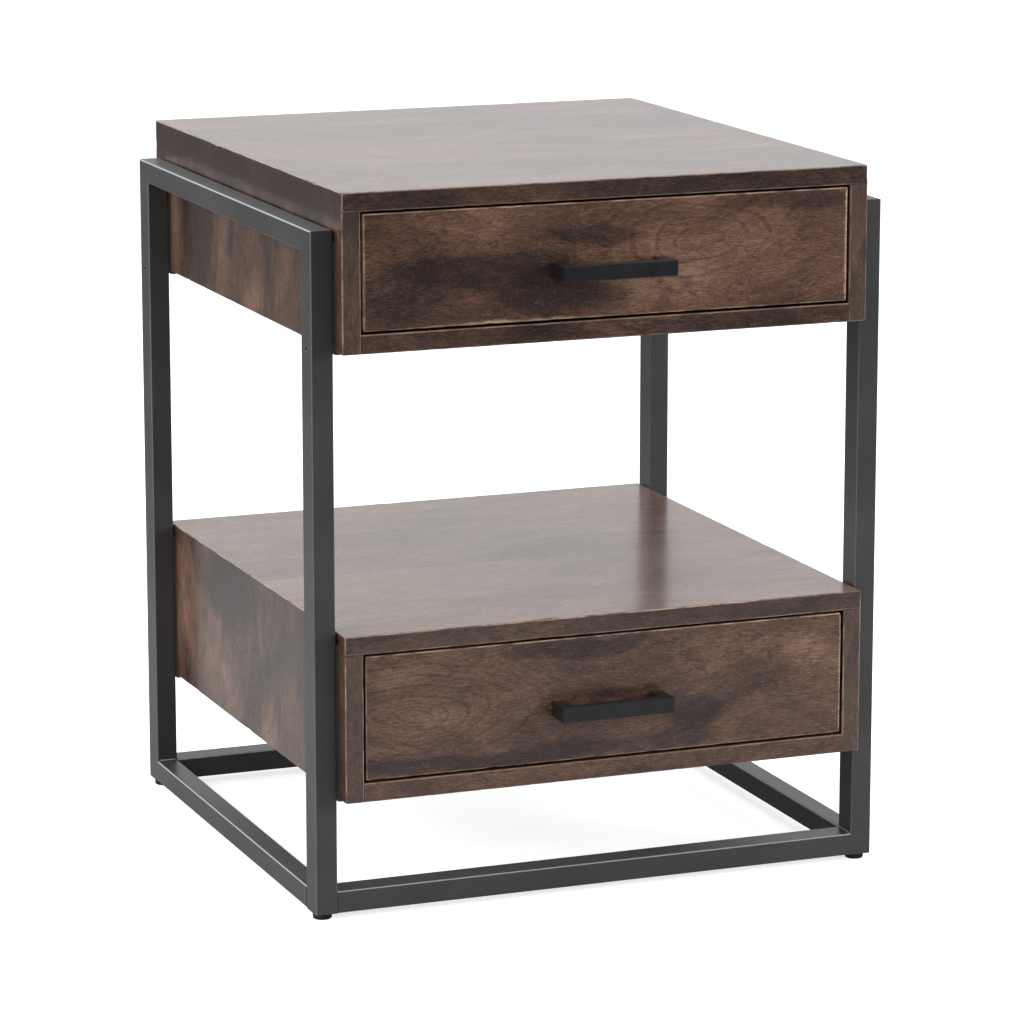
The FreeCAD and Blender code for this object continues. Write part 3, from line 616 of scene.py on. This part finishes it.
def screw(place, towards, head_radius, head_height, length, radius):
    """A pan-head screw: a surface turned about its axis, from the middle of the crown over the head and down the
    shank. The crown is a shallow dome with a cross sunk into it; the shank's radius is a triangle wave, its thread."""
    columns, depth = 32, 0.45 * head_height
    angle = np.arange(columns) * math.tau / columns
    crown = np.linspace(0.04, 0.90, 13)[:, None] * head_radius
    dome = 0.18 * head_height * (crown / head_radius) ** 2 + 0 * angle
    arm = np.minimum(np.abs(crown * np.cos(angle)), np.abs(crown * np.sin(angle)))
    cross = np.clip((0.17 * head_radius - arm) / (0.05 * head_radius), 0.0, 1.0)
    cross *= np.clip((0.58 * head_radius - crown) / (0.08 * head_radius), 0.0, 1.0)
    roll = np.linspace(0.2, math.pi / 2, 4)[:, None]
    rim = head_radius * (0.90 + 0.10 * np.sin(roll))
    fall = head_height * (0.15 + 0.25 * (1 - np.cos(roll)))
    thread = np.linspace(head_height, length - 1.2 * radius, 25)[:, None]
    winding = radius * (1 - 0.16 * (np.arange(25) % 2))[:, None]
    tip = length - np.array([[0.6], [0.0]]) * radius
    radii = np.concatenate([crown + 0 * angle, rim + 0 * angle, np.full((1, columns), head_radius),
                            winding + 0 * angle, np.array([[0.6], [0.15]]) * radius + 0 * angle])
    falls = np.concatenate([dome + depth * cross, fall + 0 * angle, np.full((1, columns), head_height),
                            thread + 0 * angle, tip + 0 * angle])
    towards = np.array(towards, float)
    across = np.array([0.0, 0.0, 1.0]) if abs(towards[2]) < 0.5 else np.array([1.0, 0.0, 0.0])
    third = np.cross(towards, across)
    points = np.array(place) + falls[..., None] * towards + (radii * np.cos(angle))[..., None] * across \
        + (radii * np.sin(angle))[..., None] * third
    last = (len(radii) - 1) * columns + np.arange(columns)
    return points.reshape(-1, 3), grid_faces(len(radii), columns, wrap=True), [np.arange(columns)[::-1], last]


def screws(node, places, *sizes):
    """A group of screws in place of its CAD node; each place is the crown's middle and the way that it points."""
    points, faces, quads, count = [], [], [], 0
    for place, towards in places:
        some, grid, ends = screw(place, towards, *sizes)
        points.append(some)
        quads.append(grid + count)
        faces += [*(grid + count), *(end + count for end in ends)]
        count += len(some)
    points = np.concatenate(points)
    piece = add_piece(node + "_set", points, faces, SCREW_ZINC, BODY_OF[node], (node,))
    hold_flats(piece.data, points, np.concatenate(quads))


def weld_bead(name, start, end, first, second, size=1.3 * MM):
    """A fillet of weld along the inside corner from start to end, between faces looking along first and second: a
    quarter round whose size ripples along its length and tapers to each end."""
    start, end = np.array(start), np.array(end)
    first, second = np.array(first), np.array(second)
    along = np.linspace(0.0, 1.0, 41)[:, None]
    length = np.linalg.norm(end - start)
    swell = size * (1 + 0.14 * np.sin(along * length / (1.6 * MM) * math.tau) + 0.08 * np.sin(along * 9.0))
    swell = swell * (0.35 + 0.65 * np.sin(math.pi * np.clip(along, 0.08, 0.92)) ** 0.3)
    turn = np.linspace(0.0, math.pi / 2, 8)
    middle = start + (end - start) * along
    rows = [middle + swell * (first * np.cos(t) + second * np.sin(t)) for t in turn]
    rows += [middle - 0.15 * MM * (first + second)]
    points = np.stack(rows, 1)
    quads = grid_faces(points.shape[0], points.shape[1], wrap=True)
    if np.dot(np.cross(first, second), end - start) < 0:
        quads = quads[:, ::-1]
        caps = [np.arange(points.shape[1]), (len(points) - 1) * points.shape[1] + np.arange(points.shape[1])[::-1]]
    else:
        caps = [np.arange(points.shape[1])[::-1], (len(points) - 1) * points.shape[1] + np.arange(points.shape[1])]
    add_piece(name, points.reshape(-1, 3), [*quads, *caps], STEEL, "frame")


# ---------------------------------------------------------------- the object

STEEL = powder_coat()
BRACKET = powder_coat()
BLACK_BAR = painted("handle_lacquer", (0.016, 0.0165, 0.019), (0.011, 0.0115, 0.0135), 0.22, 900.0, 0.00006)
BLACK_PLASTIC = painted("foot_plastic", (0.016, 0.016, 0.016), (0.010, 0.010, 0.010), 0.42, 1600.0, 0.0001)
ZINC = metal("slide_zinc", (0.62, 0.63, 0.64), (0.42, 0.43, 0.45), 0.22, (900.0, 12.0, 900.0))
SCREW_ZINC = metal("screw_zinc", (0.66, 0.66, 0.64), (0.45, 0.45, 0.44), 0.20, (500.0, 500.0, 500.0))
BOX_WOOD = plain_wood("drawer_box_lacquer", (420.0, 14.0, 420.0), (0.50, 0.34, 0.20), (0.33, 0.20, 0.11))
BOX_CROSS_WOOD = plain_wood("drawer_box_cross_lacquer", (14.0, 420.0, 420.0), (0.50, 0.34, 0.20), (0.33, 0.20, 0.11))
PLYWOOD = plain_wood("drawer_bottom_veneer", (16.0, 300.0, 300.0), (0.60, 0.46, 0.31), (0.46, 0.33, 0.20), plies=0.0017)
DOWEL = plain_wood("dowel_beech", (300.0, 300.0, 300.0), (0.60, 0.43, 0.27), (0.45, 0.30, 0.17))

FINISH_OF_SLOT = {
    "powder_coated_steel": STEEL, "bracket_steel": BRACKET, "drawer_box_wood": BOX_WOOD,
    "drawer_bottom_plywood": PLYWOOD, "dowel_wood": DOWEL, "zinc_slide_steel": ZINC, "zinc_screws": SCREW_ZINC,
    "black_handle": BLACK_BAR, "black_feet": BLACK_PLASTIC, "black_inserts": BLACK_PLASTIC,
}


def centre_of(node):
    low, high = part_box(node)
    return tuple((low + high) / 2)


def finish_cad_nodes():
    """Gives every CAD node that stays the finish of its material slot."""
    for part in frame["record"]["subparts"]:
        finish = FINISH_OF_SLOT.get(part["material_slot"])
        if finish is None:
            continue
        if finish is BOX_WOOD and "side" not in part["node"]:
            finish = BOX_CROSS_WOOD
        mesh = NODES[part["node"]].data
        mesh.materials.clear()
        mesh.materials.append(finish)


UNDER_EDGES = (("left", "under"), ("right", "under"))
BETWEEN_SIDES = (("left", "front"), ("right", "front"), ("left", "under"), ("right", "under"),
                 ("left", "top"), ("right", "top"))
UNDER_TOP = (("left", "top"), ("right", "top"), ("front", "top"), ("back", "top"))
EDGE = (-0.2525,)          # the front edges of the boards, back from each board's middle
LOWER_EDGE = (-0.2425,)
CASE_BOARDS = {
    "upper_left_side": dict(
        face="side", seed=14, tone=0.02, front=EDGE + (0.0, 0.45), smoke=0.7, curl=0.040, wear=0.7, glued=UNDER_TOP,
        dark_figure_and_painted_shade=(((0.0, 0.120), (0.080, 0.034), 0.8), ((0.02, -0.060), (0.060, 0.020), 0.5),
                 # the band along the top of this side, above the rail, is painted shade
                 ((0.068, 0.0), (0.026, 0.60), 1.0)),
        light_figure_and_painted_light=(((-0.010, 0.205), (0.080, 0.028), 0.20), ((-0.045, -0.020), (0.030, 0.030), 0.22),
               ((0.0, 0.060), (0.060, 0.020), 0.10))),
    "upper_right_side": dict(
        face="side", seed=21, tone=0.02, front=EDGE + (0.05, 0.45), smoke=0.7, wear=0.5, glued=UNDER_TOP),
    "lower_left_side": dict(
        face="side", seed=52, tone=-0.02, front=LOWER_EDGE + (0.04, 0.40), smoke=0.8, curl=0.070, wear=0.8,
        glued=UNDER_TOP, knots=(((-0.020, 0.000), (0.075, 0.090), 6.0),),
        dark_figure_and_painted_shade=(((0.055, 0.060), (0.040, 0.090), 1.0), ((0.040, -0.140), (0.060, 0.060), 0.8)),
        light_figure_and_painted_light=(((0.000, 0.190), (0.070, 0.045), 0.26), ((-0.025, 0.090), (0.050, 0.060), 0.20),
               ((-0.050, -0.040), (0.030, 0.040), 0.24))),
    "lower_right_side": dict(
        face="side", seed=63, tone=0.03, front=LOWER_EDGE + (0.0, 0.40), smoke=0.6, wear=0.8, glued=UNDER_TOP),
    # front paints the front edge face darker than the top face: painted shade
    "upper_top_board": dict(
        face="top", seed=3, stave=0.085, tone=0.05, front=EDGE + (-0.17, 0.10), smoke=0.30, wear=0.5,
        glued=UNDER_EDGES),
    "upper_bottom_board": dict(face="top", seed=8, tone=-0.05, smoke=0.5, wear=0.45, glued=BETWEEN_SIDES),
    # the tone raised far above the other tops and the lighter patch at the left front are partly painted reflection on
    # the top face; front paints the front edge face darker, painted shade
    "lower_top_board": dict(
        face="top", seed=33, stave=0.075, tone=0.26, front=LOWER_EDGE + (-0.36, 0.25), smoke=0.12, wear=0.9,
        glued=UNDER_EDGES, light_figure_and_painted_light=(((-0.140, -0.080), (0.140, 0.100), 0.16),)),
    "lower_bottom_board": dict(face="top", seed=41, tone=0.06, smoke=0.2, wear=0.4, glued=BETWEEN_SIDES),
    "upper_back_panel": dict(face="front", seed=71, stave=0.06, smoke=0.3, wear=0.25, arris=0.5 * MM),
    "lower_back_panel": dict(face="front", seed=77, stave=0.06, smoke=0.3, wear=0.25, arris=0.5 * MM),
}
DRAWER_FRONTS = {
    "upper_drawer_front": dict(
        seed=5, tone=0.06, smoke=0.15, curl=0.034, wear=1.0,
        knots=(((0.075, 0.012), (0.075, 0.040), 4.0),),
        dark_figure_and_painted_shade=(((-0.115, -0.006), (0.095, 0.018), 1.0), ((-0.055, -0.024), (0.070, 0.022), 1.0),
                 ((-0.165, -0.026), (0.050, 0.022), 0.35), ((-0.020, 0.020), (0.050, 0.009), 0.7),
                 ((0.170, 0.040), (0.050, 0.009), 0.4)),
        # the broad lighter patch over the right half is partly light figure, partly painted light falling from the
        # front right
        light_figure_and_painted_light=(((-0.110, 0.034), (0.080, 0.016), 0.07), ((0.120, -0.002), (0.110, 0.044), 0.18),
               ((0.020, -0.036), (0.060, 0.012), 0.08)),
        scuffs=(((-0.085, -0.0485), (0.075, 0.0032), 0.9), ((0.045, -0.0490), (0.070, 0.0018), 0.8),
                ((0.2155, 0.0), (0.0030, 0.080), 1.0), ((-0.2155, 0.0), (0.0026, 0.075), 0.8))),
    "lower_drawer_front": dict(
        seed=9, tone=0.07, smoke=0.15, wear=1.0,
        knots=(((-0.175, 0.000), (0.125, 0.050), 7.0),),
        dark_figure_and_painted_shade=(((-0.110, -0.046), (0.140, 0.012), 1.0), ((0.080, -0.024), (0.030, 0.022), 0.7),
                 ((-0.020, 0.044), (0.080, 0.008), 0.6), ((0.060, -0.042), (0.050, 0.010), 0.6)),
        light_figure_and_painted_light=(((-0.190, 0.030), (0.020, 0.012), 0.14), ((0.190, 0.020), (0.026, 0.030), 0.12),
               ((-0.140, 0.010), (0.080, 0.030), 0.12)),
        scuffs=(((0.2155, 0.0), (0.0024, 0.080), 0.9), ((0.0, -0.0565), (0.240, 0.0016), 0.7))),
}
FRONT_WEAR = 0.5 * MM


def build_boards():
    """The boards of both cases and both drawer fronts, each with a stain of its own."""
    finishes = {}
    for node, plan in CASE_BOARDS.items():
        plan = dict(plan)
        glued, arris = plan.pop("glued", ()), plan.pop("arris", 1.2 * MM)
        finishes[node] = stained_wood(node + "_stain", centre_of(node), **plan)
        sides = [finishes[node.replace("top_board", side)] for side in ("left_side", "right_side")] \
            if node.endswith("top_board") else ()
        board(node, finishes[node], "stained_case_wood", glued, arris, seed=plan["seed"], end_finishes=sides)
    for node, plan in DRAWER_FRONTS.items():
        finish = stained_wood(node + "_stain", centre_of(node), "front", **plan)
        board(node, finish, "stained_drawer_front_wood", seed=plan["seed"] + 86, dents=FRONT_WEAR)


def build_handles():
    for node in ("upper_handle", "lower_handle"):
        handle(node, BLACK_BAR, 9 * MM, 12 * MM, 0.8 * MM)


SLIDE_SCREW_LINES = (-185 * MM, -20 * MM, 145 * MM)


def drawer_side(side):
    return "drawer_" + side + "_side"


def build_glides():
    for node, body in BODY_OF.items():
        if node.startswith("foot_"):
            glide(node, body)


def build_screws():
    """The screws of the brackets, the handles and the drawer slides."""
    places = []
    for case in ("upper", "lower"):
        for side, out in (("left", -1), ("right", 1)):
            low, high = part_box(case + "_" + side + "_side")
            x = (low[0] if out < 0 else high[0]) - out * 6 * MM
            for end in ("front", "rear"):
                leg = centre_of(side + "_" + end + "_leg")
                places.append(((x, leg[1], low[2] - (2.0 + 2.2) * MM), (0, 0, 1)))
    screws("bracket_screws", places, 3.6 * MM, 2.2 * MM, 20.2 * MM, 1.75 * MM)

    in_case = []
    for drawer in ("upper", "lower"):
        low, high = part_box(drawer + "_handle")
        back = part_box(drawer + "_drawer_front")[1][1]
        height = (low[2] + high[2]) / 2
        places = [((x, back + 2.6 * MM, height), (0, -1, 0)) for x in (low[0] + 6 * MM, high[0] - 6 * MM)]
        screws(drawer + "_handle_screws", places, 4.2 * MM, 2.6 * MM, 28.6 * MM, 2.0 * MM)

        in_box = []
        for side, out in (("left", -1), ("right", 1)):
            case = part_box("_".join((drawer, side, "slide_outer")))
            wall = case[0][0] if out < 0 else case[1][0]
            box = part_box("_".join((drawer, drawer_side(side))))
            face = box[0][0] if out < 0 else box[1][0]
            middle = (case[0][2] + case[1][2]) / 2
            for along in SLIDE_SCREW_LINES:
                in_case.append(((wall - out * 2.4 * MM, along, middle), (out, 0, 0)))
                in_box.append(((face + out * 2.4 * MM, along, middle), (-out, 0, 0)))
        screws(drawer + "_drawer_slide_screws", in_box, 3.5 * MM, 1.2 * MM, 11.4 * MM, 1.75 * MM)
    screws("case_slide_screws", in_case, 3.5 * MM, 1.2 * MM, 11.4 * MM, 1.75 * MM)


def build_welds():
    """Weld beads in the inside corners of each side frame and along the tops of the base rails' ends."""
    for side, out in (("left", -1), ("right", 1)):
        for place, inward in (("front", 1), ("rear", -1)):
            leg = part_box(side + "_" + place + "_leg")
            face = leg[1][1] if inward > 0 else leg[0][1]
            for rail, up in (("bottom_rail", 1), ("top_rail", -1)):
                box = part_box(side + "_" + rail)
                level = box[1][2] if up > 0 else box[0][2]
                ends = (box[0][0] + 2 * MM, face, level), (box[1][0] - 2 * MM, face, level)
                weld_bead("_".join((side, place, rail, "weld")), *ends, (0, inward, 0), (0, 0, up))
            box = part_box(place + "_base_rail")
            end = box[0][0] if out < 0 else box[1][0]
            ends = (end, box[0][1] + 2 * MM, box[1][2]), (end, box[1][1] - 2 * MM, box[1][2])
            weld_bead("_".join((side, place, "base_rail_weld")), *ends, (-out, 0, 0), (0, 0, 1))


set_camera()
finish_cad_nodes()
build_boards()
build_handles()
build_glides()
build_screws()
build_welds()

world = bpy.data.worlds.new("studio")
bpy.context.scene.world = world
world.use_nodes = True
light_studio(world.node_tree)
soft_box("left_soft_box", (-2.6, 0.3, 1.1), (0.0, 0.0, 0.3), (2.2, 1.8), 62.0)
soft_box("front_soft_box", (2.3, -1.75, 0.9), (0.1, 0.0, 0.35), (1.1, 1.1), 67.0)
soft_box("top_soft_box", (0.2, -0.4, 2.6), (0.0, 0.0, 0.3), (2.2, 2.2), 25.0)

FLOOR = 30.0
floor_mesh = bpy.data.meshes.new("studio_floor")
floor_mesh.from_pydata([(-FLOOR, -FLOOR, 0), (FLOOR, -FLOOR, 0), (FLOOR, FLOOR, 0), (-FLOOR, FLOOR, 0)], [],
                       [(0, 1, 2, 3)])
floor = bpy.data.objects.new("studio_floor", floor_mesh)
bpy.context.scene.collection.objects.link(floor)
floor_material, floor_tree, floor_main = new_finish("studio_paper")
seen = shader(floor_tree, "LightPath").outputs["Is Camera Ray"]
place = shader(floor_tree, "TexCoord").outputs["Object"]
near = fade(floor_tree, vectors(floor_tree, "LENGTH", place), 2.3, 0.7)
behind = fade(floor_tree, shader(floor_tree, "SeparateXYZ", {0: place}).outputs[1], 0.3, 1.6, 0.0, 0.22)
lit_paper = colour_steps(floor_tree, maths(floor_tree, "MAXIMUM", near, behind),
                         ((0.0, (0.09, 0.09, 0.09)), (1.0, (0.36, 0.36, 0.36))))
paper = blend_colours(floor_tree, seen, lit_paper, (0.86, 0.86, 0.86))
put(floor_tree, floor_main, {"Base Color": paper, "Roughness": 0.95, "Specular IOR Level": 0.0,
                             "Emission Color": (1.0, 1.0, 1.0, 1.0),
                             "Emission Strength": maths(floor_tree, "MULTIPLY", seen, 0.72)})
floor_mesh.materials.append(floor_material)

bpy.context.scene.view_settings.view_transform = "Standard"
